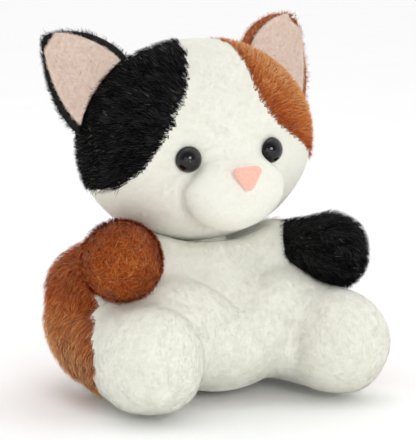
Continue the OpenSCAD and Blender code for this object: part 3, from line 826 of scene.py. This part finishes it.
# ------------------------------------------------------------------ hard and small parts
def dress_small_parts():
    gloss = plain_material("eye_black", (0.003, 0.0025, 0.0025), 0.1, grain=60, spread=0.3)
    shader = gloss.node_tree.nodes["Principled BSDF"].inputs
    shader["Coat Weight"].default_value = 0.4
    shader["Coat Roughness"].default_value = 0.04
    shader["Specular IOR Level"].default_value = 0.22
    looks = {
        "eye_right": gloss,
        "eye_left": gloss,
        "nose": cloth_material("nose_flock", (0.88, 0.44, 0.34), (0.95, 0.54, 0.43), sheen=0.4, grain=2500),
    }
    washer = plain_material("washer_plastic", (0.85, 0.85, 0.85), 0.5)
    for name in ("eye_washer_right", "eye_washer_left", "nose_washer"):
        looks[name] = washer
    looks["care_label"] = plain_material("label_ribbon", (0.9, 0.9, 0.9), 0.6, grain=2500)
    looks["closing_stitches"] = plain_material("brown_thread", (0.25, 0.11, 0.04), 0.8, grain=3000)
    looks["neck_stitches"] = plain_material("white_thread", (0.85, 0.83, 0.78), 0.8, grain=3000)
    looks["pellet_sachet"] = plain_material("sachet_cloth", (0.8, 0.8, 0.85), 0.9, grain=1500)
    for name, mat in looks.items():
        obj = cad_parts[name]
        obj.data.materials.clear()
        obj.data.materials.append(mat)
        for poly in obj.data.polygons:
            poly.material_index = 0


# ------------------------------------------------------------------ stage, light and camera
VIEW_AZIMUTH, VIEW_ELEVATION = -27.0, 9.0
VIEW_DISTANCE = 750.0
SENSOR = 36.0
VIEW_TALL = 151.7
# From the head's centre to the middle of the picture.
SHIFT_RIGHT, SHIFT_DOWN = 2.7, 27.7
FLOOR_HALF, FLOOR_DROP = 8.0, 0.0003
TENT_OPENING = (-0.45, -0.88, 0.16)
TENT_LIGHT, OPENING_LIGHT = 1.2, 0.34


def build_stage():
    mesh = bpy.data.meshes.new("floor")
    half, level = FLOOR_HALF, -FLOOR_DROP
    corners = [(-half, -half, level), (half, -half, level), (half, half, level), (-half, half, level)]
    mesh.from_pydata(corners, [], [(0, 1, 2, 3)])
    floor = bpy.data.objects.new("floor", mesh)
    bpy.context.scene.collection.objects.link(floor)
    mesh.materials.append(plain_material("floor_paper", (1.0, 1.0, 1.0), 0.9, grain=20, spread=0.01))
    world = bpy.data.worlds.new("studio")
    world.use_nodes = True
    background = world.node_tree.nodes["Background"]
    background.inputs["Color"].default_value = (1, 1, 1, 1)
    # A white tent that is open towards the photographer's side.
    direction = world.node_tree.nodes.new("ShaderNodeTexCoord")
    facing = world.node_tree.nodes.new("ShaderNodeVectorMath")
    facing.operation = "DOT_PRODUCT"
    facing.inputs[1].default_value = TENT_OPENING
    tent = world.node_tree.nodes.new("ShaderNodeMapRange")
    ramp = {"From Min": 0.2, "From Max": 0.7, "To Min": TENT_LIGHT, "To Max": OPENING_LIGHT}
    for name, value in ramp.items():
        tent.inputs[name].default_value = value
    world.node_tree.links.new(direction.outputs["Generated"], facing.inputs[0])
    world.node_tree.links.new(facing.outputs["Value"], tent.inputs["Value"])
    world.node_tree.links.new(tent.outputs["Result"], background.inputs["Strength"])
    bpy.context.scene.world = world


def area_light(name, place, target, size, power):
    data = bpy.data.lights.new(name, "AREA")
    data.size = size
    data.energy = power
    obj = bpy.data.objects.new(name, data)
    obj.location = Vector(place)
    obj.rotation_euler = (Vector(target) - Vector(place)).to_track_quat("-Z", "Y").to_euler()
    bpy.context.scene.collection.objects.link(obj)


def build_lights():
    middle = tuple(at(AXIS, 0, 0, 60) * MM)
    area_light("key", (-0.12, -0.95, 0.34), middle, 0.32, 2.6)
    area_light("fill", (-0.55, -0.75, 0.08), middle, 0.6, 1.2)
    area_light("top", (0.0, 0.1, 1.0), middle, 0.7, 0.8)


def build_camera():
    a, e = math.radians(VIEW_AZIMUTH), math.radians(VIEW_ELEVATION)
    to_camera = np.array([math.sin(a) * math.cos(e), -math.cos(a) * math.cos(e), math.sin(e)])
    right = np.array([math.cos(a), math.sin(a), 0])
    up = np.cross(to_camera, right)
    target = HEAD + right * SHIFT_RIGHT - up * SHIFT_DOWN
    data = bpy.data.cameras.new("camera")
    data.sensor_width = SENSOR
    data.lens = SENSOR * VIEW_DISTANCE / VIEW_TALL
    camera = bpy.data.objects.new("camera", data)
    camera.location = Vector((target + to_camera * VIEW_DISTANCE) * MM)
    camera.rotation_euler = Vector(-to_camera).to_track_quat("-Z", "Y").to_euler()
    bpy.context.scene.collection.objects.link(camera)
    bpy.context.scene.camera = camera
    bpy.context.scene.view_settings.view_transform = "Standard"


build_head()
build_body()
build_limbs()
build_neck()
build_ears()
dress_small_parts()
build_stage()
build_lights()
build_camera()
